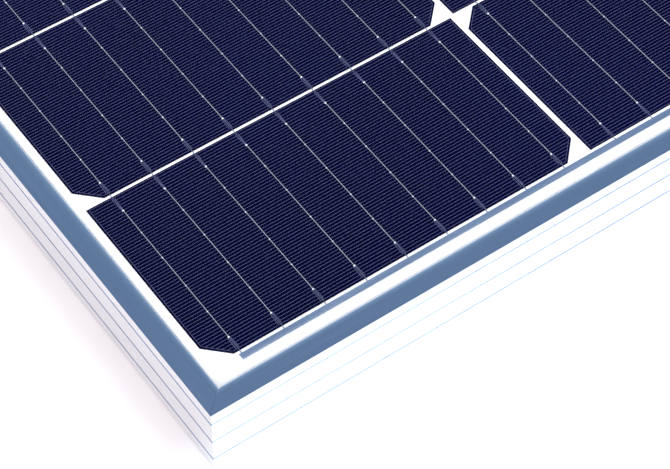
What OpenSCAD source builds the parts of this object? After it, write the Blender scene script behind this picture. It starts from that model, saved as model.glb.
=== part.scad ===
// Framed solar module of 120 half-cut cells, under 3.2 mm glass.
// Six columns of cells run along X, and the two halves of the module are mirror images about X = 0.
// X runs along the long side, Y along the short side and Z up, with the glass on top.
// The origin is the centre of the plane that the frame stands on. All sizes are in millimetres.

/* [Cells] */
// Length of a half cell, along Y
cell_l = 166; // [156:1:186]
// Width of a half cell, along X
cell_w = 83; // [68:0.5:100]
// Thickness of a cell
cell_t = 0.18; // [0.12:0.01:0.24]
// Leg of the 45 degree corner cut
cell_cut = 8.55; // [0.5:0.05:12]
// Gap between cells of one string
row_gap = 1.3; // [1:0.1:3]
// Gap between columns
col_gap = 2.4; // [1:0.1:6]
// Cells in one string
rows = 10; // [6:1:12]

/* [Layout] */
// Outer face of a long rail to the cells
side_margin = 14.5; // [12:0.1:30]
// Outer face of a short rail to the cells
end_margin = 20.5; // [17:0.5:40]
// Free strip across the middle of the module
centre_gap = 30.6; // [20:0.2:60]

/* [Wires and bus ribbons] */
// Wires on each cell
wires = 9; // [5:1:9]
// Distance from wire to wire
wire_pitch = 18; // [15:0.5:20]
// Width of a wire
wire_w = 0.35; // [0.2:0.05:0.6]
// Height of a wire
wire_t = 0.3; // [0.2:0.02:0.4]
// Cut edge of a cell to the start of its front wires
wire_start = 7.3; // [3:0.1:15]
// Straight lead-in and lead-out of a wire's step between two cells
wire_step_lead = 0.15; // [0.1:0.05:0.3]
// Width of a bus ribbon
bus_w = 2.7; // [2:0.1:6]
// Thickness of a bus ribbon
bus_t = 0.3; // [0.2:0.02:0.4]
// Gap from the cells to a bus ribbon
bus_gap = 1.45; // [1:0.05:3]
// Length of bus ribbon beyond the outermost wire
bus_overhang = 1.3; // [0.5:0.1:4]
// Width of a lead-out ribbon
lead_w = 5; // [3:0.5:6]
// Thickness of a lead-out ribbon
lead_t = 0.3; // [0.2:0.02:0.4]
// Outermost wire to the centre of a lead-out ribbon
lead_from_wire = 4.2; // [3.5:0.1:8]
// Box centre line to the leg of a lead-out ribbon
lead_leg_x = 2; // [0:0.5:4]
// Length of the foot that is soldered to a terminal
lead_foot = 12; // [8:1:16]

/* [Layers] */
// Thickness of the glass
glass_t = 3.2; // [2:0.1:4]
// Thickness of the film between glass and wires
front_film_t = 0.45; // [0.3:0.05:0.7]
// Thickness of the film between wires and backsheet
rear_film_t = 0.45; // [0.3:0.05:0.7]
// Thickness of the backsheet
backsheet_t = 0.3; // [0.2:0.05:0.6]
// Outer face of the frame to the edge of the glass
glass_inset = 2.5; // [2:0.1:4]
// Sealant between lip and glass
seal_top_t = 0.52; // [0.3:0.02:1.2]
// Sealant between backsheet and seat
seal_bottom_t = 0.5; // [0.3:0.05:1.2]
// Set-back of the sealant from the edges of the lip and seat
seal_setback = 0.5; // [0.2:0.1:2]

/* [Frame] */
// Height of the frame
frame_h = 32; // [26:0.5:45]
// Thickness of the outer and inner walls
wall_t = 1.5; // [1.1:0.1:1.8]
// Width of the lip over the glass
lip_w = 9.1; // [7.5:0.1:10.5]
// Thickness of the lip
lip_t = 1.5; // [1.2:0.1:2.5]
// Width of the rounded part of the lip
lip_curve_w = 3.9; // [1:0.1:4.5]
// Thickness of the lip at its tip
lip_tip_t = 0.4; // [0.2:0.1:1]
// Width of the hollow chamber, walls included
chamber_w = 11; // [9:0.5:14]
// Thickness of the seat under the laminate
seat_t = 1.5; // [1.2:0.1:2]
// Thickness of the foot
foot_t = 1.5; // [1.2:0.1:2.5]
// Width of the foot of a long rail
long_foot_w = 30; // [28:1:40]
// Width of the foot of a short rail
short_foot_w = 20; // [18:1:30]
// Grooves along the outer face
grooves = 3; // [1:1:4]
// Width of a groove
groove_w = 0.8; // [0.4:0.1:1.5]
// Depth of a groove
groove_d = 0.4; // [0.2:0.1:0.6]
// Gap between two mitred rails
mitre_gap = 0.05; // [0.02:0.01:0.2]

/* [Holes in the feet] */
// Length of a mounting slot
slot_l = 14; // [10:1:20]
// Width of a mounting slot
slot_w = 9; // [6:0.5:10]
// Chamber to the centre line of the mounting and grounding holes
hole_from_chamber = 9; // [7:0.5:11]
// Middle of the module to the outer mounting slots
outer_slot_x = 650; // [520:10:680]
// Middle of the module to the inner mounting slots
inner_slot_x = 430; // [360:10:480]
// Radius of a grounding hole
ground_r = 2.1; // [1.5:0.1:3]
// Middle of the module to the grounding holes
ground_x = 300; // [100:10:330]
// Width of a drain slot
drain_w = 4; // [2:0.5:5]
// Length of a drain slot
drain_l = 12; // [8:1:20]
// Chamber to the centre line of the drain slots
drain_from_chamber = 4; // [3:0.5:4.5]
// Frame corner to the middle of the nearest drain slot
drain_from_corner = 60; // [30:5:120]

/* [Corner keys] */
// Length of each arm of a key
key_arm = 48; // [30:1:70]
// Clearance of a key in its chamber
key_play = 0.1; // [0.05:0.05:0.3]
// Teeth along an arm
key_teeth = 5; // [2:1:6]
// Pitch of the teeth
key_tooth_pitch = 6; // [4:0.5:6]
// Width of the notch between two teeth
key_notch_w = 2; // [1:0.5:3]
// Depth of a notch
key_notch_d = 0.6; // [0.3:0.1:1]
// Wall of a key around its pocket
key_wall = 2; // [1.5:0.1:2.5]

/* [Junction boxes] */
// Room between the terminals and the end walls
box_end_room = 17; // [8:1:30]
// Room between the terminals and the side walls
box_side_room = 2.5; // [2.5:0.5:12]
// Height of a box without its lid
box_h = 14; // [12.5:0.5:14.5]
// Thickness of the side walls
box_wall = 2.5; // [2.2:0.1:3]
// Thickness of the base plate
box_plate_t = 2; // [1.5:0.1:2.5]
// Radius of the upright corners
box_corner_r = 6; // [5:0.5:8]
// Thickness of the glue bed
glue_t = 1; // [0.5:0.1:2]
// Room between the lead-out ribbons and the ends of their window
window_room = 3; // [1:0.5:6]
// Width of the window that the lead-out ribbons pass
window_w = 12; // [8:1:14]
// Thickness of the lid plate
lid_t = 2; // [1.5:0.1:2.5]
// Height of the lid's skirt
skirt_h = 3; // [2:0.5:4]
// Thickness of the skirt
skirt_t = 1.5; // [1:0.1:2]
// Clearance of the skirt in the box
skirt_play = 0.3; // [0.1:0.05:0.5]
// Width of a pry notch in the lid
pry_w = 8; // [5:1:12]
// Depth of a pry notch
pry_d = 1; // [0.5:0.1:1.5]
// Width of the gasket
gasket_w = 1.2; // [0.8:0.1:1.4]
// Height of the gasket
gasket_h = 0.8; // [0.5:0.1:1.5]

/* [Terminals and diodes] */
// Width of a terminal, along Y
terminal_l = 14; // [10:1:16]
// Depth of a terminal, along X
terminal_w = 16; // [10:1:17]
// Thickness of a terminal
terminal_t = 1; // [0.6:0.1:1.5]
// Height of the bosses under a terminal
boss_h = 2; // [1:0.5:3]
// Window to the near edge of a terminal
terminal_from_window = 1; // [0.5:0.5:3]
// Radius of the diode
diode_r = 3; // [2:0.1:3.2]
// Length of the diode
diode_l = 12; // [8:1:14]
// Radius of a diode's wire
diode_wire_r = 0.6; // [0.4:0.05:0.8]
// Clearance under a diode's wire
diode_wire_play = 0.02; // [0.01:0.01:0.05]
// Length of a diode's wire on its terminal
diode_wire_lap = 3; // [2:0.5:5]

/* [Cable glands] */
// Radius of the cable passage
cable_r = 3.05; // [2:0.05:3.3]
// Outer radius of the threaded spout
spout_r = 5; // [4.5:0.1:5.5]
// Length of the spout
spout_l = 9; // [7:0.5:14]
// Distance across the flats of the cap nut
nut_flats = 13; // [12.5:0.5:13.5]
// Length of the cap nut
nut_l = 12; // [10:0.5:18]
// Clearance of the nut around the spout
nut_play = 0.1; // [0.05:0.05:0.2]
// Gap between the nut and the box wall
nut_gap = 1; // [0.5:0.1:2]
// Thickness of the nut's end wall
nut_end_t = 1.8; // [1.2:0.1:2.5]
// Extra radius of the hole in the nut's end wall
nut_hole_extra = 0.4; // [0.2:0.1:0.6]
// Extra radius of the hole in the seal
seal_hole_extra = 0.05; // [0.02:0.01:0.2]

/* [Hidden] */

$fn = 48;
eps = 1;              // overrun of a cutter past the face that it cuts
columns = 6;
curve_steps = 12;     // flats in the rounded part of the lip
key_pocket_end = 8;   // solid metal at both ends of a key's pocket

cell_pitch_x = cell_w + row_gap;
cell_pitch_y = cell_l + col_gap;
string_l = rows * cell_w + (rows - 1) * row_gap;
module_l = 2 * end_margin + 2 * string_l + centre_gap;
module_w = 2 * side_margin + columns * cell_l + (columns - 1) * col_gap;
string_x = centre_gap / 2 + string_l / 2;
hole_u = chamber_w + hole_from_chamber;
drain_u = chamber_w + drain_from_chamber;

// Heights of the layers, from the lip down
lip_bottom_z = frame_h - lip_t;
glass_top_z = lip_bottom_z - seal_top_t;
glass_bottom_z = glass_top_z - glass_t;
film_bottom_z = glass_bottom_z - front_film_t;
cell_top_z = film_bottom_z - wire_t;
cell_bottom_z = cell_top_z - cell_t;
rear_wire_z = cell_bottom_z - wire_t;
bus_bottom_z = film_bottom_z - bus_t;
under_bus_z = bus_bottom_z - wire_t;
rear_film_z = rear_wire_z - rear_film_t;
backsheet_z = rear_film_z - backsheet_t;
seat_top_z = backsheet_z - seal_bottom_t;
seat_bottom_z = seat_top_z - seat_t;

// Heights inside a junction box, which hangs from the backsheet
box_top_z = backsheet_z - glue_t;
rim_z = box_top_z - box_h;
plate_z = box_top_z - box_plate_t;
terminal_top_z = plate_z - boss_h;
terminal_z = terminal_top_z - terminal_t;
gland_z = box_top_z - box_h / 2;

function column_y(c) = (c - (columns - 1) / 2) * cell_pitch_y;
function box_y(n) = (n - 2) * 2 * cell_pitch_y;
function wire_y(i) = (i - (wires - 1) / 2) * wire_pitch;
bus_reach = wire_y(wires - 1) + bus_overhang;

// Places in a junction box, from the box's centre
lead_y = cell_pitch_y / 2 - wire_y(wires - 1) + lead_from_wire;
terminal_x = window_w / 2 + terminal_from_window;
window_l = 2 * (lead_y + lead_w / 2 + window_room);
box_l = 2 * (lead_y + terminal_l / 2 + box_end_room + box_wall);
box_w = 2 * (terminal_x + terminal_w + box_side_room + box_wall);
min_corner_r = 0.5;   // smallest radius of an upright corner

// ---------------------------------------------------------------- frame

module lip_outline() {
    polygon(concat(
        [[0, frame_h], [0, lip_bottom_z], [lip_w, lip_bottom_z]],
        [for (i = [0 : curve_steps])
            let (a = 90 * i / curve_steps)
            [lip_w - lip_curve_w * (1 - cos(a)),
             lip_bottom_z + lip_tip_t + (lip_t - lip_tip_t) * sin(a)]]
    ));
}

// Section of a rail: the outer face is at x = 0, inwards is +x, and the foot stands on y = 0.
module rail_section(foot_w) {
    difference() {
        union() {
            lip_outline();
            square([wall_t, frame_h - lip_t / 2]);
            square([chamber_w, seat_top_z]);
            square([foot_w, foot_t]);
        }
        translate([wall_t, foot_t])
            square([chamber_w - 2 * wall_t, seat_bottom_z - foot_t]);
        for (i = [0 : grooves - 1])
            translate([-eps, frame_h * (i + 0.5) / grooves - groove_w / 2])
                square([eps + groove_d, groove_w]);
    }
}

// A rail along X with its outer face at y = -depth, mitred at both ends.
module rail(length, depth, foot_w) {
    reach = foot_w + eps;
    half = length / 2 - mitre_gap / sqrt(2);
    intersection() {
        translate([-length / 2, -depth, 0])
            rotate([90, 0, 90])
                linear_extrude(length) rail_section(foot_w);
        translate([0, 0, -eps])
            linear_extrude(frame_h + 2 * eps)
                polygon([[-half, -depth], [half, -depth],
                         [half - reach, -depth + reach], [reach - half, -depth + reach]]);
    }
}

module slot_cutter(length, width) {
    run = length - width;
    translate([0, 0, -eps]) {
        for (s = [-1, 1])
            translate([s * run / 2, 0, 0])
                cylinder(r = width / 2, h = foot_t + 2 * eps);
        translate([-run / 2, -width / 2, 0])
            cube([run, width, foot_t + 2 * eps]);
    }
}

module long_rail() {
    color("lightsteelblue")
    difference() {
        rail(module_l, module_w / 2, long_foot_w);
        for (s = [-1, 1]) {
            for (x = [inner_slot_x, outer_slot_x])
                translate([s * x, hole_u - module_w / 2, 0])
                    slot_cutter(slot_l, slot_w);
            translate([s * ground_x, hole_u - module_w / 2, -eps])
                cylinder(r = ground_r, h = foot_t + 2 * eps);
        }
    }
}

module short_rail() {
    color("lightsteelblue")
    rotate([0, 0, 90])
    difference() {
        rail(module_w, module_l / 2, short_foot_w);
        for (s = [-1, 1])
            translate([s * (module_w / 2 - drain_from_corner), drain_u - module_l / 2, 0])
                slot_cutter(drain_l, drain_w);
    }
}

// One arm of a corner key, along -X from the corner at the origin.
module key_arm_solid(width, height) {
    difference() {
        translate([-key_arm, 0, 0]) cube([key_arm, width, height]);
        for (i = [0 : key_teeth - 1], side = [0, 1])
            translate([-key_arm + key_tooth_pitch * (i + 0.5),
                       side == 0 ? -eps : width - key_notch_d, -eps])
                cube([key_notch_w, key_notch_d + eps, height + 2 * eps]);
        translate([-key_arm + key_pocket_end, key_wall, key_wall])
            cube([key_arm - 2 * key_pocket_end - width, width - 2 * key_wall, height]);
    }
}

module corner_key() {
    width = chamber_w - 2 * wall_t - 2 * key_play;
    height = seat_bottom_z - foot_t - 2 * key_play;
    color("silver")
    translate([-wall_t - key_play, wall_t + key_play, foot_t + key_play]) {
        key_arm_solid(width, height);
        mirror([1, -1, 0]) mirror([1, 0, 0]) mirror([0, 1, 0]) key_arm_solid(width, height);
    }
}

module corner_keys() {
    for (mx = [0, 1], my = [0, 1])
        mirror([mx, 0, 0]) mirror([0, my, 0])
            translate([module_l / 2, -module_w / 2, 0]) corner_key();
}

// A flat slab over the whole module, set in from the outer face of the frame.
module slab(inset, z, thickness) {
    translate([inset - module_l / 2, inset - module_w / 2, z])
        cube([module_l - 2 * inset, module_w - 2 * inset, thickness]);
}

module edge_sealant() {
    color("gainsboro")
    difference() {
        slab(wall_t, seat_top_z, lip_bottom_z - seat_top_z);
        slab(glass_inset, backsheet_z, glass_top_z - backsheet_z);
        slab(lip_w - seal_setback, glass_top_z - eps, seal_top_t + 2 * eps);
        slab(chamber_w - seal_setback, seat_top_z - eps, seal_bottom_t + 2 * eps);
    }
}

// ---------------------------------------------------------------- laminate

module front_glass() {
    color("lightcyan", 0.3) slab(glass_inset, glass_bottom_z, glass_t);
}

module front_film() {
    color("white", 0.3) slab(glass_inset, film_bottom_z, front_film_t);
}

// A sheet behind the cells, with a window over each junction box.
module windowed_sheet(z, thickness) {
    difference() {
        slab(glass_inset, z, thickness);
        for (n = [1 : 3])
            translate([-window_w / 2, box_y(n) - window_l / 2, z - eps])
                cube([window_w, window_l, thickness + 2 * eps]);
    }
}

module rear_film() {
    color("whitesmoke") windowed_sheet(rear_film_z, rear_film_t);
}

module backsheet() {
    color("white") windowed_sheet(backsheet_z, backsheet_t);
}

// A half cell centred on the origin, with its cut corners towards +X.
module half_cell() {
    x = cell_w / 2;
    y = cell_l / 2;
    translate([0, 0, cell_bottom_z])
        linear_extrude(cell_t)
            polygon([[-x, -y], [x - cell_cut, -y], [x, cell_cut - y],
                     [x, y - cell_cut], [x - cell_cut, y], [-x, y]]);
}

// Places a string's geometry, drawn along +X about the origin with its cut corners towards +X.
// Odd columns point away from the middle of the module and even ones towards it, half b mirrors half a.
module place_string(column, half) {
    mirror([half == "b" ? 1 : 0, 0, 0])
        translate([string_x, column_y(column - 1), 0])
            mirror([column % 2 == 0 ? 1 : 0, 0, 0])
                children();
}

function cell_x(k) = (k - (rows - 1) / 2) * cell_pitch_x;

module cell_string(column, half) {
    color("midnightblue")
    place_string(column, half)
        for (k = [0 : rows - 1])
            translate([cell_x(k), 0, 0]) half_cell();
}

// A flat wire that runs at height z1 from x1, steps to height z2 between xa and xb, and ends at x2.
module stepped_wire(x1, z1, xa, xb, z2, x2) {
    rotate([90, 0, 0])
        translate([0, 0, -wire_w / 2])
            linear_extrude(wire_w)
                polygon([[x1, z1], [xa, z1], [xb, z2], [x2, z2],
                         [x2, z2 + wire_t], [xb, z2 + wire_t], [xa, z1 + wire_t], [x1, z1 + wire_t]]);
}

// The wires of one string: cell to cell, front of the last cell to its bus and bus to the back of the first.
module wire_set(column, half) {
    color("silver")
    place_string(column, half)
        for (i = [0 : wires - 1])
            translate([0, wire_y(i), 0]) {
                for (k = [0 : rows - 2]) {
                    edge = cell_x(k) + cell_w / 2;
                    stepped_wire(cell_x(k) - cell_w / 2 + wire_start, cell_top_z,
                                 edge + wire_step_lead, edge + row_gap - wire_step_lead, rear_wire_z,
                                 edge + row_gap + cell_w - wire_start);
                }
                end = string_l / 2;
                stepped_wire(end - cell_w + wire_start, cell_top_z,
                             end + wire_step_lead, end + bus_gap - wire_step_lead, under_bus_z,
                             end + bus_gap + bus_w);
                stepped_wire(-end - bus_gap - bus_w, under_bus_z,
                             -end - bus_gap + wire_step_lead, -end - wire_step_lead, rear_wire_z,
                             -end + cell_w - wire_start);
            }
}

// A bus ribbon from the outermost wire of one column to that of another.
module bus_ribbon(x, first, last) {
    y1 = column_y(first - 1) - bus_reach;
    y2 = column_y(last - 1) + bus_reach;
    translate([x, y1, bus_bottom_z]) cube([bus_w, y2 - y1, bus_t]);
}

module end_bus(half) {
    color("lightslategray")
    mirror([half == "b" ? 1 : 0, 0, 0])
        for (c = [1, 3, 5])
            bus_ribbon(string_x + string_l / 2 + bus_gap, c, c + 1);
}

module centre_bus(half) {
    x = centre_gap / 2 - bus_gap - bus_w;
    color("lightslategray")
    mirror([half == "b" ? 1 : 0, 0, 0]) {
        bus_ribbon(x, 1, 1);
        bus_ribbon(x, 2, 3);
        bus_ribbon(x, 4, 5);
        bus_ribbon(x, 6, 6);
    }
}

// A lead-out joins the two centre ribbons of a column and goes down to a terminal.
module lead_out() {
    reach = centre_gap / 2 - bus_gap;
    top = bus_bottom_z - lead_t;
    translate([-reach, -lead_w / 2, top]) cube([2 * reach, lead_w, lead_t]);
    translate([lead_leg_x, -lead_w / 2, terminal_z - lead_t])
        cube([lead_t, lead_w, top - terminal_z + lead_t + lead_t / 2]);
    translate([lead_leg_x, -lead_w / 2, terminal_z - lead_t]) cube([lead_foot, lead_w, lead_t]);
}

module lead_out_ribbons() {
    color("lightslategray")
    for (n = [1 : 3], s = [-1, 1])
        translate([0, box_y(n) + s * lead_y, 0]) lead_out();
}

// ---------------------------------------------------------------- junction boxes

module rounded_block(length, width, height, radius) {
    translate([radius - width / 2, -length / 2, 0]) cube([width - 2 * radius, length, height]);
    translate([-width / 2, radius - length / 2, 0]) cube([width, length - 2 * radius, height]);
    for (sx = [-1, 1], sy = [-1, 1])
        translate([sx * (width / 2 - radius), sy * (length / 2 - radius), 0])
            cylinder(r = radius, h = height);
}

// A block as wide and long as the box, set in on all four sides.
module box_block(inset, z, height) {
    translate([0, 0, z])
        rounded_block(box_l - 2 * inset, box_w - 2 * inset, height, max(box_corner_r - inset, min_corner_r));
}

module box_ring(outer_inset, inner_inset, z, height) {
    difference() {
        box_block(outer_inset, z, height);
        box_block(inner_inset, z - eps, height + 2 * eps);
    }
}

module window_cutter(z, height) {
    translate([-window_w / 2, -window_l / 2, z]) cube([window_w, window_l, height]);
}

module box_glue() {
    color("gainsboro")
    for (n = [1 : 3])
        translate([0, box_y(n), 0])
            difference() {
                box_block(0, box_top_z, glue_t);
                window_cutter(box_top_z - eps, glue_t + 2 * eps);
            }
}

gasket_inset = (box_wall - gasket_w) / 2;

// side is -1 or 1 where the box has a cable spout towards -Y or +Y, and 0 where it has none.
module box_housing(side) {
    color([0.09, 0.09, 0.1])
    difference() {
        union() {
            difference() {
                box_block(0, rim_z, box_h);
                box_block(box_wall, rim_z - eps, box_h - box_plate_t + eps);
            }
            for (s = [-1, 1])
                translate([terminal_x, s * lead_y - terminal_l / 2, terminal_top_z])
                    cube([terminal_w, terminal_l, boss_h + box_plate_t / 2]);
            if (side != 0)
                translate([0, side * (box_l / 2 - box_wall / 2), gland_z])
                    rotate([-90 * side, 0, 0])
                        cylinder(r = spout_r, h = spout_l + box_wall / 2);
        }
        window_cutter(plate_z - eps, box_plate_t + 2 * eps);
        box_ring(gasket_inset, gasket_inset + gasket_w, rim_z - eps, gasket_h + eps);
        if (side != 0)
            translate([0, side * (box_l / 2 - box_wall - eps), gland_z])
                rotate([-90 * side, 0, 0])
                    cylinder(r = cable_r, h = box_wall + spout_l + 2 * eps);
    }
}

module box_gasket() {
    color("dimgray") box_ring(gasket_inset, gasket_inset + gasket_w, rim_z, gasket_h);
}

module box_lid() {
    skirt_inset = box_wall + skirt_play;
    color([0.12, 0.12, 0.13])
    difference() {
        union() {
            box_block(0, rim_z - lid_t, lid_t);
            box_ring(skirt_inset, skirt_inset + skirt_t, rim_z - lid_t / 2, skirt_h + lid_t / 2);
        }
        for (s = [-1, 1])
            translate([-pry_w / 2, s * box_l / 2 - pry_d, rim_z - pry_d])
                cube([pry_w, 2 * pry_d, pry_d + eps]);
    }
}

module box_terminals() {
    color("peru")
    for (s = [-1, 1])
        translate([terminal_x, s * lead_y - terminal_l / 2, terminal_z])
            cube([terminal_w, terminal_l, terminal_t]);
}

module box_diode() {
    reach = lead_y - terminal_l / 2 + diode_wire_lap;
    color([0.15, 0.15, 0.16])
    translate([terminal_x + terminal_w - diode_r, 0, terminal_z - diode_wire_r - diode_wire_play])
        rotate([90, 0, 0]) {
            cylinder(r = diode_r, h = diode_l, center = true);
            cylinder(r = diode_wire_r, h = 2 * reach, center = true);
        }
}

// A cap nut, drawn along +Z from the box wall.
module gland_nut_solid() {
    difference() {
        cylinder(r = nut_flats / sqrt(3), h = nut_l, $fn = 6);
        translate([0, 0, -eps])
            cylinder(r = spout_r + nut_play, h = nut_l - nut_end_t + eps);
        cylinder(r = cable_r + nut_hole_extra, h = nut_l + eps);
    }
}

// Turns a part drawn along +Z into place on the spout of a box.
module on_spout(n) {
    side = n - 2;
    translate([0, box_y(n) + side * (box_l / 2 + nut_gap), gland_z])
        rotate([-90 * side, 0, 0]) children();
}

module gland_nut(n) {
    color([0.16, 0.16, 0.17]) on_spout(n) gland_nut_solid();
}

module gland_seals() {
    start = spout_l - nut_gap;
    color("darkslategray")
    for (n = [1, 3])
        on_spout(n)
            translate([0, 0, start])
                difference() {
                    cylinder(r = spout_r, h = nut_l - nut_end_t - start);
                    translate([0, 0, -eps])
                        cylinder(r = cable_r + seal_hole_extra, h = nut_l);
                }
}

module in_box(n) {
    translate([0, box_y(n), 0]) children();
}

// ---------------------------------------------------------------- nodes

long_rail();  // rail_long_left
mirror([0, 1, 0]) long_rail();  // rail_long_right
short_rail();  // rail_short_front
mirror([1, 0, 0]) short_rail();  // rail_short_rear
corner_keys();
edge_sealant();
front_glass();
front_film();
rear_film();
backsheet();
for (c = [1 : columns], h = ["a", "b"]) {
    cell_string(c, h);
    wire_set(c, h);
}
end_bus("a");  // end_bus_a
end_bus("b");  // end_bus_b
centre_bus("a");  // centre_bus_a
centre_bus("b");  // centre_bus_b
lead_out_ribbons();
box_glue();
for (n = [1 : 3]) {
    in_box(n) box_housing(n - 2);
    in_box(n) box_lid();
    in_box(n) box_gasket();
    in_box(n) box_terminals();
    in_box(n) box_diode();
}
gland_nut(1);  // box_1_gland_nut
gland_nut(3);  // box_3_gland_nut
gland_seals();
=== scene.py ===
"""Looks of a framed solar module: half-cut cells under glass, in an anodised aluminium frame.

Everything is in metres in the module's own frame: X along the long side, Y along the short side, Z up.
"""

import math

import bpy
from mathutils import Matrix, Vector


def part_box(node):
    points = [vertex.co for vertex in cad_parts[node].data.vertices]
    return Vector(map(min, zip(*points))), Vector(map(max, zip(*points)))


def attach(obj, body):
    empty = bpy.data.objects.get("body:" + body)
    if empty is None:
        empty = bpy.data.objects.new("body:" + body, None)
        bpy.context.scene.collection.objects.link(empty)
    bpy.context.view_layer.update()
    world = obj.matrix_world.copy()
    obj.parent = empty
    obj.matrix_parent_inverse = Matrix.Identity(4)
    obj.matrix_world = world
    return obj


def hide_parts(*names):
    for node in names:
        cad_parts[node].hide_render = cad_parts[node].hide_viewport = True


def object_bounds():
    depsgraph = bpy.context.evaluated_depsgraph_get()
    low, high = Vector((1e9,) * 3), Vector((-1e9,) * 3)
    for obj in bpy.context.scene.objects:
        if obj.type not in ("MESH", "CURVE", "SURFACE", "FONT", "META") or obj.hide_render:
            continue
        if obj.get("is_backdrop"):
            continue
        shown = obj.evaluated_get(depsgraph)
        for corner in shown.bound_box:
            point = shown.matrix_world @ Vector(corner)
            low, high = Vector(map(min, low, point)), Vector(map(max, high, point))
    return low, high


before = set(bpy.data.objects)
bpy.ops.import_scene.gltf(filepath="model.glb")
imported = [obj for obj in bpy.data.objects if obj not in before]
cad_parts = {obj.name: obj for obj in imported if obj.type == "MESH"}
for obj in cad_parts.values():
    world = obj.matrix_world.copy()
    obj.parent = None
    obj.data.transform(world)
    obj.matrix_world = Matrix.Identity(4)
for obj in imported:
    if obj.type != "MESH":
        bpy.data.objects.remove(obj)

MM = 0.001
CAD_BOX = [list(corner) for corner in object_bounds()]

# ---------------------------------------------------------------- sizes

COLUMNS = 6
ROWS = 10  # half cells in a string
ROW_GAP = 1.3 * MM
CELL_CUT = 8.55 * MM  # leg of the corner cut

FINGERS = 60  # printed lines on a half cell
FINGER_W = 0.14 * MM
FINGER_T = 0.02 * MM
FORK_W = 0.2 * MM
FIRST_FINGER = 0.97 * MM  # from the edge with the cut corners
LAST_FINGER = 0.67 * MM  # from the laser-cut edge
BORDER_INSET = 0.85 * MM  # of the thin line along the sides

GROOVES = 3  # along the outer face of the frame
GROOVE_SHADE_W = 1.0 * MM  # a groove and its shoulders, the width of the painted shade
SKIN = 0.9 * MM  # depth of the frame's outer face, grooves included

WIRES = 9
WIRE_PITCH = 18 * MM
WIRE_START = 7.3 * MM  # laser-cut edge to the front wires
STEP_LEAD = 0.15 * MM
BUS_GAP = 1.45 * MM
BUS_W = 2.7 * MM
BRIDGE = 6.3 * MM  # bare, oxidised end of a wire before it leaves the cell
TAB_L = 1.3 * MM  # printed tab where a wire dips under the next cell
TAB_W = 0.3 * MM
PADS = (6.7 * MM, 20.1 * MM, 33.9 * MM, 49.1 * MM, 62.9 * MM, 75.2 * MM)
END_PAD_R = 0.43 * MM
PAD_R = 0.3 * MM

# Half the spread of a fork's two lines, at its narrow and its wide end.
FRONT_FORK = (0.55 * MM, 0.68 * MM)  # by the edge with the cut corners
BACK_FORK = (0.2 * MM, 0.6 * MM)  # by the laser-cut edge
FORK_END = 1.2 * MM  # from the edge with the cut corners

BOX_EDGE_R = 0.35 * MM
NUT_EDGE_R = 0.5 * MM
RELIEF_EDGE_R = 0.25 * MM
RELIEF_T = 0.9 * MM
RELIEF_SUNK = 0.1 * MM  # how far a relief's root goes into the lid
RIB_W = 2.4 * MM
CLIP_FROM_MIDDLE = 22 * MM

# Camera: where the module's near corner lies in the camera's own axes (right, up, back), and its turn.
CORNER_IN_VIEW = Vector((-41.89, -61.30, -786.27)) * MM
AZIMUTH = 53.714
ELEVATION = 52.279
ROLL = 0.94
LENS = 125.51
SENSOR = 36.0

KEY_FROM = Vector((0.38, -0.22, 0.9))


def rgb(red, green, blue):
    return (red, green, blue, 1.0)


# The surroundings by height: the pale horizon first and the blue-grey zenith last.
SKY = [
    (0.1, rgb(1.5, 1.5, 1.52)),
    (0.23, rgb(0.8, 0.92, 1.1)),
    (0.4, rgb(0.31, 0.46, 0.68)),
    (0.58, rgb(0.2, 0.34, 0.54)),
    (0.8, rgb(0.14, 0.24, 0.41)),
    (0.95, rgb(0.113, 0.203, 0.371)),
]


def string_keys():
    """Column number and half of each cell string, with whether its cut corners point to -X."""
    for half in "ab":
        for column in range(1, COLUMNS + 1):
            yield f"{column}{half}", (column % 2 == 0) != (half == "b")


LOW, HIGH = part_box("cell_string_1a")
CELL_L = HIGH[1] - LOW[1]
STRING_L = HIGH[0] - LOW[0]
CELL_W = (STRING_L - (ROWS - 1) * ROW_GAP) / ROWS
CELL_PITCH = CELL_W + ROW_GAP
CELL_TOP = HIGH[2]
CELL_BOTTOM = LOW[2]
FILM_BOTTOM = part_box("front_film")[0][2]
WIRE_T = FILM_BOTTOM - CELL_TOP
GROOVE_PITCH = CAD_BOX[1][2] / GROOVES

# ---------------------------------------------------------------- shader maths


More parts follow.
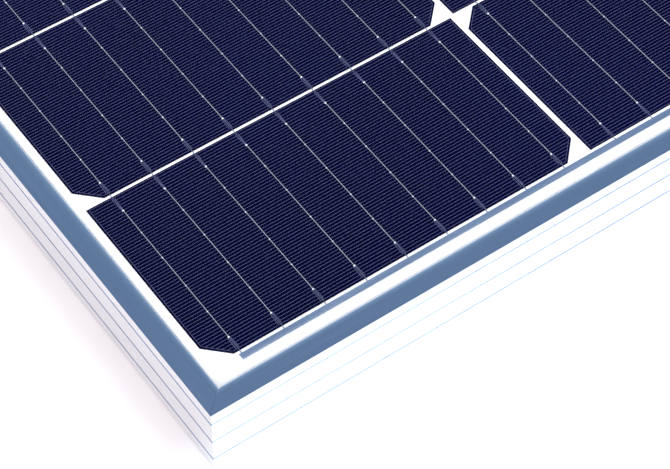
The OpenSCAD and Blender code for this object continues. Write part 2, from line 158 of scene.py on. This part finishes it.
class Field:
    """A shader value. Python operators on it add Math nodes to its tree."""

    def __init__(self, tree, socket=None):
        self.tree = tree
        self.socket = socket

    def node(self, kind, settings=None, out=0, **inputs):
        """Adds a node. Inputs are named by their socket, with _ for a space, or at_ and its number."""
        made = self.tree.nodes.new(kind)
        for name, value in (settings or {}).items():
            if name == "stops":
                self.set_stops(made.color_ramp.elements, value)
            else:
                setattr(made, name, value)
        for name, value in inputs.items():
            key = int(name[3:]) if name.startswith("at_") else name.replace("_", " ")
            self.put(value, made.inputs[key])
        return Field(self.tree, made.outputs[out])

    def set_stops(self, ramp, stops):
        """Gives a colour ramp its positions and colours."""
        while len(ramp) < len(stops):
            ramp.new(0.5)
        for stop, (position, colour) in zip(ramp, stops):
            stop.position = position
            stop.color = colour

    def put(self, value, target):
        """Links a Field to a socket, or sets the socket to a plain value."""
        if isinstance(value, Field):
            self.tree.links.new(value.socket, target)
        else:
            target.default_value = value

    def parts(self):
        """All the outputs of the node that this is an output of."""
        return [Field(self.tree, out) for out in self.socket.node.outputs]

    def math(self, operation, other=0.0):
        return self.node("ShaderNodeMath", {"operation": operation}, at_0=self, at_1=other)

    def __add__(self, other):
        return self.math("ADD", other)

    __radd__ = __add__

    def __mul__(self, other):
        return self.math("MULTIPLY", other)

    def __sub__(self, other):
        return self.math("SUBTRACT", other)

    def __truediv__(self, other):
        return self.math("DIVIDE", other)

    def __gt__(self, other):
        return self.math("GREATER_THAN", other)

    def __lt__(self, other):
        return self.math("LESS_THAN", other)

    def __abs__(self):
        return self.math("ABSOLUTE")

    def step(self, low, high):
        """0 below low, 1 above high and smooth between."""
        smooth = {"interpolation_type": "SMOOTHSTEP"}
        return self.node("ShaderNodeMapRange", smooth, Value=self, From_Min=low, From_Max=high)

    def mix(self, first, second):
        """The first colour where this is 0 and the second where it is 1."""
        return self.node("ShaderNodeMix", {"data_type": "RGBA"}, out=2, at_0=self, at_6=first, at_7=second)


def surface(name):
    """A new material, its field maker and its Principled shader's inputs."""
    made = bpy.data.materials.new(name)
    made.use_nodes = True
    tree = made.node_tree
    return made, Field(tree), tree.nodes["Principled BSDF"].inputs


def place(field):
    """Object coordinates, and their X, Y and Z."""
    point = field.node("ShaderNodeTexCoord", out=3)
    return point, field.node("ShaderNodeSeparateXYZ", Vector=point).parts()


def noise(field, point, scale, detail=3.0, stretch=(1, 1, 1)):
    """Noise between 0 and 1, drawn out along an axis whose stretch is small."""
    along = field.node("ShaderNodeMapping", Vector=point, Scale=stretch)
    return field.node("ShaderNodeTexNoise", Vector=along, Scale=scale, Detail=detail)


def bump(field, height, strength, distance):
    return field.node("ShaderNodeBump", Height=height, Strength=strength, Distance=distance)


# ---------------------------------------------------------------- finishes


def anodised(name, grain):
    """Satin anodised aluminium: drawing lines along the rail, a fine grain and a darker bluish painted
    shade in the grooves.
    """
    made, f, out = surface(name)
    point, (x, y, z) = place(f)
    drawn = noise(f, point, 900, 2.0, grain)
    speck = noise(f, point, 2600, 2.0)
    cloud = noise(f, point, 6, 2.0)
    shade = (speck * 0.5 + drawn * 0.3 + cloud * 0.2).step(0.3, 0.7)
    metal_colour = shade.mix(rgb(0.77, 0.775, 0.8), rgb(0.83, 0.83, 0.85))
    from_groove = abs((z / GROOVE_PITCH).math("FRACT") - 0.5)
    in_groove = from_groove < GROOVE_SHADE_W / 2 / GROOVE_PITCH
    end_face = abs(x) > CAD_BOX[1][0] - SKIN
    side_face = abs(y) > CAD_BOX[1][1] - SKIN
    # Painted shade: a darker bluish band along each groove of the end and side faces stands in for the
    # shade in the grooves.
    painted_groove_shade = in_groove * (end_face + side_face) > 0.5
    f.put(painted_groove_shade.mix(metal_colour, rgb(0.66, 0.73, 0.85)), out["Base Color"])
    out["Metallic"].default_value = 1.0
    f.put(0.13 + drawn * 0.05 + speck * 0.05, out["Roughness"])
    f.put(bump(f, speck * 0.7 + drawn * 0.3, 0.12, 0.02 * MM), out["Normal"])
    return made


def clear_pane(name, share, tint):
    """Clear sheet: what lies behind it shows, with a share of the plain Fresnel reflection."""
    made, f, out = surface(name)
    point, _ = place(f)
    smear = noise(f, point, 3, 2.0)
    edge = f.node("ShaderNodeFresnel", IOR=1.5)
    out["Base Color"].default_value = tint
    out["Metallic"].default_value = 1.0
    f.put(0.03 + smear * 0.03, out["Roughness"])
    f.put(edge * share, out["Alpha"])
    return made


def silicon(name):
    """Dark blue coated silicon with a faint cloud in its coating."""
    made, f, out = surface(name)
    point, _ = place(f)
    cloud = noise(f, point, 9, 3.0)
    fine = noise(f, point, 420, 2.0)
    shade = (cloud * 0.7 + fine * 0.3).step(0.3, 0.7)
    f.put(shade.mix(rgb(0.0002, 0.0003, 0.012), rgb(0.0005, 0.0006, 0.018)), out["Base Color"])
    f.put(0.42 + fine * 0.12, out["Roughness"])
    out["Specular IOR Level"].default_value = 0.02
    return made


def metal(name, dark, light, rough, scale=1200, stretch=(1, 1, 1), metallic=1.0):
    made, f, out = surface(name)
    point, _ = place(f)
    grain = noise(f, point, scale, 2.0, stretch)
    f.put(grain.step(0.3, 0.7).mix(dark, light), out["Base Color"])
    out["Metallic"].default_value = metallic
    f.put(rough + grain * 0.1, out["Roughness"])
    f.put(bump(f, grain, 0.1, 0.02 * MM), out["Normal"])
    return made


def fine_metal(name, dark, light, rough, metallic):
    """Solder, printed silver and thin wires: a fine grain and only partly metallic."""
    return metal(name, dark, light, rough, 3000, metallic=metallic)


def plastic(name, dark, light, rough, scale=700, depth=0.05 * MM):
    made, f, out = surface(name)
    point, _ = place(f)
    grain = noise(f, point, scale, 3.0)
    cloud = noise(f, point, 14, 2.0)
    f.put((grain * 0.6 + cloud * 0.4).step(0.3, 0.7).mix(dark, light), out["Base Color"])
    f.put(rough + grain * 0.12, out["Roughness"])
    f.put(bump(f, grain, 0.25, depth), out["Normal"])
    return made


def paint(material, *names):
    """Gives CAD nodes a finish, in place of their plain one."""
    for name in names:
        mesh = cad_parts[name].data
        mesh.materials.clear()
        mesh.materials.append(material)


# ---------------------------------------------------------------- modelling


def deselect():
    if bpy.context.object and bpy.context.object.mode != "OBJECT":
        bpy.ops.object.mode_set(mode="OBJECT")
    bpy.ops.object.select_all(action="DESELECT")


def activate(piece):
    """Makes a piece the only one that is selected, and the active one."""
    deselect()
    piece.select_set(True)
    bpy.context.view_layer.objects.active = piece


def round_edges(piece, radius, least=30):
    """Bevels the edges that turn by more than least degrees and shades the bevels smooth."""
    activate(piece)
    edges = piece.modifiers.new("Edges", "BEVEL")
    edges.width = radius
    edges.segments = 2
    edges.limit_method = "ANGLE"
    edges.angle_limit = math.radians(least)
    bpy.ops.object.modifier_apply(modifier=edges.name)
    bpy.ops.object.shade_smooth_by_angle(angle=math.radians(35))


def settle(name):
    """Names the active object and puts its place into its mesh."""
    piece = bpy.context.object
    piece.name = piece.data.name = name
    bpy.ops.object.transform_apply(location=True, rotation=True, scale=True)
    return piece


def bar(name, size, centre, turn=0.0, top=0.7):
    """A low bar whose top is narrower than its foot, turned about Z."""
    deselect()
    bpy.ops.mesh.primitive_cube_add(size=1, location=centre, rotation=(0, 0, turn), scale=size)
    piece = bpy.context.object
    for face in piece.data.polygons:
        face.select = face.normal.z > 0.5
    select_faces(piece)
    bpy.ops.transform.resize(value=(1, top, 1) if size[0] > size[1] else (top, 1, 1), orient_type="LOCAL")
    bpy.ops.object.mode_set(mode="OBJECT")
    return settle(name)


def select_faces(piece):
    """Goes into edit mode with just the faces that are marked selected."""
    marked = [face.select for face in piece.data.polygons]
    bpy.ops.object.mode_set(mode="EDIT")
    bpy.ops.mesh.select_mode(type="FACE")
    bpy.ops.mesh.select_all(action="DESELECT")
    bpy.ops.object.mode_set(mode="OBJECT")
    for face, mark in zip(piece.data.polygons, marked):
        face.select = mark
    bpy.ops.object.mode_set(mode="EDIT")


def repeat(piece, count, step):
    """Repeats a piece along a straight line."""
    activate(piece)
    row = piece.modifiers.new("Row", "ARRAY")
    row.count = count
    row.use_relative_offset = False
    row.use_constant_offset = True
    row.constant_offset_displace = step
    bpy.ops.object.modifier_apply(modifier=row.name)
    return piece


def merge(name, parts):
    """Joins parts into one piece."""
    deselect()
    for part in parts:
        part.select_set(True)
    bpy.context.view_layer.objects.active = parts[0]
    bpy.ops.object.join()
    parts[0].name = parts[0].data.name = name
    return parts[0]


def trim(piece, point, outward):
    """Cuts away what lies beyond a plane and closes the cut."""
    activate(piece)
    bpy.ops.object.mode_set(mode="EDIT")
    bpy.ops.mesh.select_all(action="SELECT")
    bpy.ops.mesh.bisect(plane_co=point, plane_no=outward, clear_outer=True, use_fill=True)
    bpy.ops.object.mode_set(mode="OBJECT")


def copy_to(master, name, move, finishes, body="root"):
    """A copy of a master with its own mesh, moved by a matrix. Its faces hold their finish's number."""
    piece = bpy.data.objects.new(name, master.data.copy())
    piece.data.name = name
    piece.data.transform(move)
    numbers = [face.material_index for face in piece.data.polygons]
    piece.data.materials.clear()
    for finish in finishes:
        piece.data.materials.append(finish)
    piece.data.polygons.foreach_set("material_index", numbers)
    bpy.context.collection.objects.link(piece)
    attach(piece, body)
    return piece


# ---------------------------------------------------------------- the printed cells


def cell_print():
    """The printed silver on one half cell: fingers, border lines and a fork at each end of a wire."""
    half_w, half_l = CELL_W / 2, CELL_L / 2
    pitch = (CELL_W - FIRST_FINGER - LAST_FINGER) / (FINGERS - 1)
    z = FINGER_T / 2
    size = (FINGER_W, CELL_L - 2 * BORDER_INSET, FINGER_T)
    fingers = bar("fingers", size, (LAST_FINGER - half_w, 0, z))
    repeat(fingers, FINGERS, (pitch, 0, 0))
    slope = math.sqrt(0.5)
    parts = [fingers]
    for side in (-1, 1):
        corner = Vector((half_w, side * (half_l - CELL_CUT), 0))
        outward = Vector((slope, side * slope, 0))
        trim(fingers, corner - outward * BORDER_INSET, outward)
        shorter = BORDER_INSET * math.tan(math.radians(22.5))
        mid = Vector((half_w - CELL_CUT / 2, side * (half_l - CELL_CUT / 2), z)) - outward * BORDER_INSET
        size = (CELL_CUT / slope - 2 * shorter - FIRST_FINGER, FINGER_W, FINGER_T)
        parts.append(bar("cut_line", size, mid, side * math.radians(-45)))
        side_l = CELL_W - CELL_CUT - LAST_FINGER - shorter
        mid = (LAST_FINGER - half_w + side_l / 2, side * (half_l - BORDER_INSET), z)
        parts.append(bar("side_line", (side_l, FINGER_W, FINGER_T), mid))
        narrow, wide = FRONT_FORK
        parts.append(prong(half_w - BRIDGE, side * narrow, half_w - FORK_END, side * wide))
        narrow, wide = BACK_FORK
        parts.append(prong(-half_w + WIRE_START, side * narrow, -half_w + TAB_L, side * wide))
    parts.append(prong(-half_w + WIRE_START, 0, -half_w + TAB_L, 0))
    parts.append(prong(-half_w + TAB_L, 0, -half_w + 0.1 * MM, 0, TAB_W))
    return merge("cell_print", parts)


def prong(x1, y1, x2, y2, width=FORK_W):
    """One line of a fork, repeated for every wire."""
    run = Vector((x2 - x1, y2 - y1))
    middle = (WIRES - 1) / 2 * WIRE_PITCH
    made = bar("prong", (run.length, width, FINGER_T),
               ((x1 + x2) / 2, (y1 + y2) / 2 - middle, FINGER_T / 2), math.atan2(run.y, run.x))
    return repeat(made, WIRES, (0, WIRE_PITCH, 0))


def solder_pads():
    """The solder on one half cell's wires."""
    parts = []
    for i, from_edge in enumerate(PADS):
        radius = END_PAD_R if i in (0, len(PADS) - 1) else PAD_R
        deselect()
        place_at = (CELL_W / 2 - from_edge, -(WIRES - 1) / 2 * WIRE_PITCH, WIRE_T / 2)
        bpy.ops.mesh.primitive_cylinder_add(vertices=8, radius=radius, depth=WIRE_T, location=place_at)
        piece = bpy.context.object
        for face in piece.data.polygons:
            face.select = face.normal.z > 0.5
        select_faces(piece)
        bpy.ops.mesh.bevel(offset=WIRE_T * 0.6, segments=2, affect="EDGES")
        bpy.ops.object.mode_set(mode="OBJECT")
        parts.append(settle("pad"))
    return repeat(merge("solder_pads", parts), WIRES, (0, WIRE_PITCH, 0))


def tube(name, stations):
    """An oval wire through (x, z) stations, by extruding its section from one to the next."""
    deselect()
    bpy.ops.mesh.primitive_circle_add(vertices=8, radius=WIRE_T / 2, fill_type="NGON",
                                      location=(stations[0][0], 0, stations[0][1]),
                                      rotation=(0, math.radians(90), 0))
    bpy.ops.object.transform_apply(location=True, rotation=True, scale=True)
    bpy.ops.object.mode_set(mode="EDIT")
    bpy.ops.mesh.select_all(action="SELECT")
    for here, there in zip(stations, stations[1:]):
        step = (there[0] - here[0], 0, there[1] - here[1])
        bpy.ops.mesh.extrude_region_move(TRANSFORM_OT_translate={"value": step})
    bpy.ops.mesh.select_all(action="SELECT")
    bpy.ops.mesh.normals_make_consistent(inside=False)
    bpy.ops.object.mode_set(mode="OBJECT")
    bpy.ops.object.shade_smooth_by_angle(angle=math.radians(50))
    return settle(name)


def eased(x1, z1, x2, z2, steps=6):
    """Stations of a smooth step from one height to another."""
    return [(x1 + (x2 - x1) * i / steps, z1 + (z2 - z1) * (1 - math.cos(math.pi * i / steps)) / 2)
            for i in range(steps + 1)]


def string_wires():
    """All the wires of a string, its cut corners towards +X and its cells' top at Z = 0."""
    front = WIRE_T / 2
    back = CELL_BOTTOM - CELL_TOP - WIRE_T / 2
    under_bus = -WIRE_T / 2
    edge = STRING_L / 2
    first = -edge
    link = tube("link", [(first + WIRE_START, front), (first + CELL_W - BRIDGE, front)]
                + eased(first + CELL_W + STEP_LEAD, front, first + CELL_PITCH - STEP_LEAD, back)
                + [(first + CELL_PITCH + CELL_W - WIRE_START, back)])
    repeat(link, ROWS - 1, (CELL_PITCH, 0, 0))
    last = tube("last", [(edge - CELL_W + WIRE_START, front), (edge - BRIDGE, front)]
                + eased(edge + STEP_LEAD, front, edge + BUS_GAP - STEP_LEAD, under_bus)
                + [(edge + BUS_GAP + BUS_W, under_bus)])
    start = tube("start", [(-edge - BUS_GAP - BUS_W, under_bus)]
                 + eased(-edge - BUS_GAP + STEP_LEAD, under_bus, -edge - STEP_LEAD, back)
                 + [(-edge + CELL_W - WIRE_START, back)])
    row = merge("string_wires", [link, last, start])
    mark_bridges(row)
    row.data.transform(Matrix.Translation((0, -(WIRES - 1) / 2 * WIRE_PITCH, 0)))
    return repeat(row, WIRES, (0, WIRE_PITCH, 0))


def mark_bridges(row):
    """Finish 1 for the wire from near a cell's edge to the next cell or the bus, 0 for the rest."""
    row.data.materials.clear()
    for finish in range(2):
        row.data.materials.append(None)
    for face in row.data.polygons:
        run = (face.center.x + STRING_L / 2) % CELL_PITCH
        face.material_index = int(run > CELL_W - BRIDGE)


def cells_and_wires(finishes):
    """The print, solder and round wires of all twelve strings."""
    row_start = Matrix.Translation((-(ROWS - 1) / 2 * CELL_PITCH, 0, 0))
    prints, pads, wires = cell_print(), solder_pads(), string_wires()
    for master in (prints, pads):
        master.data.transform(row_start)
        repeat(master, ROWS, (CELL_PITCH, 0, 0))
    for key, turned in string_keys():
        low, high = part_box(f"cell_string_{key}")
        move = Matrix.Translation(((low[0] + high[0]) / 2, (low[1] + high[1]) / 2, CELL_TOP))
        if turned:
            move = move @ Matrix.Rotation(math.pi, 4, "Z")
        copy_to(prints, f"cell_print_{key}", move, [finishes["print"]])
        copy_to(pads, f"solder_pads_{key}", move, [finishes["solder"]])
        round_wires = copy_to(wires, f"round_wires_{key}", move, [finishes["wire"], finishes["bridge"]])
        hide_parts(f"wires_{key}")
    for master in (prints, pads, wires):
        bpy.data.objects.remove(master)


# ---------------------------------------------------------------- junction boxes


def finish_off(piece, finish, body):
    """Gives a new piece its finish and the body it rides on."""
    piece.data.materials.clear()
    piece.data.materials.append(finish)
    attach(piece, body)


def softened(name, node, radius, finish, body="root"):
    """A moulded piece: the CAD node's shape with its sharp edges rounded."""
    piece = bpy.data.objects.new(name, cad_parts[node].data.copy())
    piece.data.name = name
    bpy.context.collection.objects.link(piece)
    activate(piece)
    bpy.ops.object.mode_set(mode="EDIT")
    bpy.ops.mesh.select_all(action="SELECT")
    bpy.ops.mesh.remove_doubles(threshold=0.001 * MM)
    bpy.ops.mesh.dissolve_limited(angle_limit=math.radians(0.5))
    bpy.ops.object.mode_set(mode="OBJECT")
    round_edges(piece, radius, 40)
    finish_off(piece, finish, body)
    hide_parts(node)


def moulding(name, size, centre, inset, depth):
    """A block whose lower face has an inset field, sunk by depth, or raised where depth is below 0."""
    deselect()
    bpy.ops.mesh.primitive_cube_add(size=1, location=centre, scale=size)
    piece = bpy.context.object
    bpy.ops.object.transform_apply(location=True, rotation=True, scale=True)
    for face in piece.data.polygons:
        face.select = face.normal.z < -0.5
    select_faces(piece)
    bpy.ops.mesh.inset(thickness=inset)
    bpy.ops.mesh.extrude_region_move(TRANSFORM_OT_translate={"value": (0, 0, depth)})
    bpy.ops.object.mode_set(mode="OBJECT")
    round_edges(piece, RELIEF_EDGE_R)
    return settle(name)


def lid_relief(n, finish):
    """The raised rim and ribs on the outside of a lid."""
    low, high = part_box(f"box_{n}_lid")
    x, y = (low[0] + high[0]) / 2, (low[1] + high[1]) / 2
    z = low[2] - RELIEF_T / 2 + RELIEF_SUNK
    width, length = high[0] - low[0] - 12 * MM, high[1] - low[1] - 16 * MM
    parts = [moulding("rim", (width, length, RELIEF_T), (x, y, z), 2 * MM, RELIEF_T * 0.6)]
    rib = (RIB_W, length - 12 * MM, RELIEF_T)
    for i in (-1, 0, 1):
        parts.append(moulding("rib", rib, (x + i * width / 4, y, z), 0.6 * MM, -0.2 * MM))
    finish_off(merge(f"lid_relief_{n}", parts), finish, f"lid_{n}")


def box_clips(n, finish):
    """Four snap clips on the long sides of a housing, each with a hook at its foot."""
    low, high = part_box(f"box_{n}_housing")
    lid_low, lid_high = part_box(f"box_{n}_lid")
    middle = (lid_low[1] + lid_high[1]) / 2
    parts = []
    for side, wall in ((-1, low[0]), (1, high[0])):
        for along in (-1, 1):
            y = middle + along * CLIP_FROM_MIDDLE
            centre = (wall + side * 0.6 * MM, y, low[2] + 3.6 * MM)
            parts.append(moulding("clip", (1.6 * MM, 9 * MM, 7 * MM), centre, 0.4 * MM, 0.5 * MM))
            centre = (wall + side * 1.3 * MM, y, low[2] + 1.4 * MM)
            parts.append(moulding("hook", (1.2 * MM, 5 * MM, 1.8 * MM), centre, 0.3 * MM, 0.2 * MM))
    finish_off(merge(f"box_clips_{n}", parts), finish, "root")


def junction_boxes(moulded, glossy):
    """The three boxes' mouldings, and the cap nuts of the outer two."""
    for n in (1, 2, 3):
        softened(f"housing_{n}", f"box_{n}_housing", BOX_EDGE_R, moulded)
        softened(f"lid_{n}_cover", f"box_{n}_lid", BOX_EDGE_R, moulded, f"lid_{n}")
        lid_relief(n, moulded)
        box_clips(n, moulded)
    for n in (1, 3):
        softened(f"cap_nut_{n}", f"box_{n}_gland_nut", NUT_EDGE_R, glossy)


# ---------------------------------------------------------------- light, floor and camera


def pale_floor():
    """A large paper floor with a painted shadow: darker and pinker under the module and close to its long
    sides, brighter further out.
    """
    deselect()
    bpy.ops.mesh.primitive_plane_add(size=30, location=(0, 0, -0.2 * MM))
    floor = settle("floor")
    made, f, out = surface("paper_floor_painted_shadow")
    point, (x, y, _) = place(f)
    grain = noise(f, point, 30, 3.0)
    # Painted shadow: the darker, pinker paper colour near the module stands in for the module's shadow on
    # the floor.
    paper = grain.step(0.2, 0.8).mix(rgb(0.515, 0.463, 0.45), rgb(0.525, 0.473, 0.46))
    past_ends = abs(x).step(CAD_BOX[1][0] - 20 * MM, CAD_BOX[1][0] + 10 * MM)
    past_sides = abs(y).step(CAD_BOX[1][1] + 5 * MM, CAD_BOX[1][1] + 30 * MM)
    past_painted_shadow = past_ends.math("MAXIMUM", past_sides)
    f.put(past_painted_shadow.mix(paper, rgb(0.68, 0.68, 0.68)), out["Base Color"])
    out["Roughness"].default_value = 0.9
    floor.data.materials.append(made)
    floor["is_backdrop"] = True


def surroundings():
    """A pale horizon under a blue-grey zenith. The pale part reaches highest at the ends."""
    world = bpy.data.worlds.new("studio")
    world.use_nodes = True
    bpy.context.scene.world = world
    f = Field(world.node_tree)
    x, y, up = f.node("ShaderNodeSeparateXYZ", Vector=f.node("ShaderNodeTexCoord")).parts()
    height = up - abs(x) * 0.5 - abs(y) * 0.18 + 0.465
    sky = f.node("ShaderNodeValToRGB", {"stops": SKY}, Fac=height)
    f.put(sky, world.node_tree.nodes["Background"].inputs["Color"])


def key_light():
    """A wide soft light from above, a little to the front right."""
    sun = bpy.data.lights.new("key", "SUN")
    sun.energy = 5.6
    sun.angle = math.radians(80)
    key = bpy.data.objects.new("key", sun)
    key.rotation_euler = KEY_FROM.to_track_quat("Z", "Y").to_euler()
    bpy.context.collection.objects.link(key)


def camera():
    data = bpy.data.cameras.new("camera")
    data.lens = LENS
    data.sensor_width = SENSOR
    data.clip_start = 0.01
    made = bpy.data.objects.new("camera", data)
    low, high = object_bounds()
    corner = Vector((high[0], low[1], high[2]))
    turn = (Matrix.Rotation(math.radians(AZIMUTH), 4, "Z")
            @ Matrix.Rotation(math.radians(90 - ELEVATION), 4, "X")
            @ Matrix.Rotation(math.radians(ROLL), 4, "Z"))
    made.matrix_world = Matrix.Translation(corner) @ turn @ Matrix.Translation(-CORNER_IN_VIEW)
    bpy.context.collection.objects.link(made)
    bpy.context.scene.camera = made
    bpy.context.scene.view_settings.view_transform = "Standard"


# ---------------------------------------------------------------- the whole module


def paint_nodes():
    """The finishes of the CAD nodes that show as they are."""
    rail_x = anodised("anodised_long", (0.02, 1, 1))
    rail_y = anodised("anodised_short", (1, 0.02, 1))
    paint(rail_x, "rail_long_left", "rail_long_right")
    paint(rail_y, "rail_short_front", "rail_short_rear")
    paint(metal("mill_aluminium", rgb(0.6, 0.61, 0.63), rgb(0.75, 0.76, 0.78), 0.35), "corner_keys")
    silicone = plastic("silicone", rgb(0.8, 0.8, 0.81), rgb(0.88, 0.88, 0.89), 0.5)
    paint(silicone, "edge_sealant", "box_glue")
    paint(clear_pane("tempered_glass", 0.07, rgb(0.9, 0.95, 1.0)), "front_glass")
    paint(clear_pane("front_encapsulant", 0.0, rgb(1.0, 1.0, 1.0)), "front_film")
    white_film = plastic("rear_encapsulant", rgb(0.76, 0.745, 0.745), rgb(0.79, 0.775, 0.775), 0.6, 300)
    paint(white_film, "rear_film")
    laminate = plastic("backsheet_laminate", rgb(0.82, 0.82, 0.83), rgb(0.88, 0.88, 0.89), 0.45, 500)
    paint(laminate, "backsheet")
    cell = silicon("coated_silicon")
    paint(cell, *[f"cell_string_{key}" for key, _ in string_keys()])
    along_bus = (1, 0.05, 1)
    tinned = (rgb(0.78, 0.81, 0.86), rgb(0.86, 0.89, 0.93))
    ribbon = metal("tinned_ribbon", *tinned, 0.21, 600, along_bus, 0.99)
    paint(ribbon, "end_bus_a", "end_bus_b", "centre_bus_a", "centre_bus_b", "lead_out_ribbons")
    moulded = plastic("moulded_black", rgb(0.012, 0.012, 0.013), rgb(0.02, 0.02, 0.022), 0.45)
    rubber = plastic("seal_rubber", rgb(0.03, 0.03, 0.03), rgb(0.05, 0.05, 0.05), 0.7)
    copper = metal("tinned_copper", rgb(0.7, 0.55, 0.42), rgb(0.8, 0.64, 0.5), 0.3)
    epoxy = plastic("diode_epoxy", rgb(0.01, 0.01, 0.012), rgb(0.02, 0.02, 0.022), 0.3)
    for n in (1, 2, 3):
        paint(rubber, f"box_{n}_gasket")
        paint(copper, f"box_{n}_terminals")
        paint(epoxy, f"box_{n}_diode")
    paint(rubber, "gland_seals")
    junction_boxes(moulded, plastic("cap_nut", rgb(0.013, 0.013, 0.014), rgb(0.022, 0.022, 0.024), 0.3))


def main():
    camera()
    paint_nodes()
    cells_and_wires({
        "print": fine_metal("printed_silver", rgb(0.062, 0.064, 0.135), rgb(0.09, 0.092, 0.185), 0.6, 0.1),
        "solder": fine_metal("solder", rgb(0.62, 0.62, 0.63), rgb(0.76, 0.76, 0.77), 0.35, 0.3),
        "wire": fine_metal("tinned_wire", rgb(0.3, 0.3, 0.34), rgb(0.4, 0.4, 0.44), 0.4, 0.4),
        "bridge": fine_metal("oxidised_wire", rgb(0.07, 0.09, 0.16), rgb(0.1, 0.12, 0.2), 0.45, 0.4),
    })
    pale_floor()
    surroundings()
    key_light()


main()
